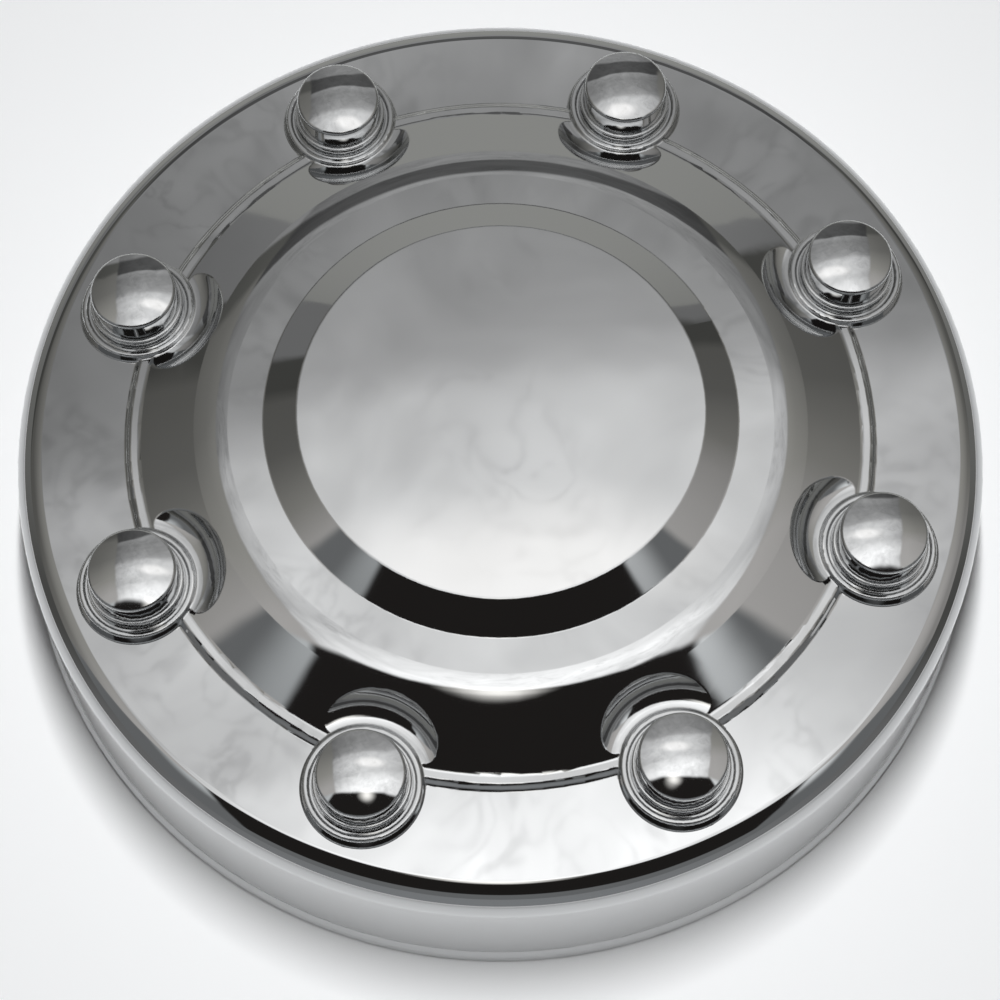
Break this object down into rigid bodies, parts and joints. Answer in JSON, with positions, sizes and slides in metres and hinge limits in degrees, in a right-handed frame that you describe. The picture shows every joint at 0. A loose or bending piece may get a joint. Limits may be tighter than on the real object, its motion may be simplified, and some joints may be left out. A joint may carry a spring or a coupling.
{
  "type": "wheel center cap",
  "caption": "Round chrome-plated wheel center cap: raised bare disc, stepped cone, flat flange and skirt, with domed nut covers moulded on the stud circle.",
  "frame": {"origin": "middle of the circle on which the skirt's foot rests", "axes": "+Z along the wheel axis, out of the wheel towards the viewer; +X through the middle of one nut cover"},
  "size_m": [0.2096, 0.2096, 0.0508],
  "materials": {
    "chrome_plating": "polished"
  },
  "bodies": {
    "root": {"center_cap": "chrome_plating"}
  },
  "joints": []
}
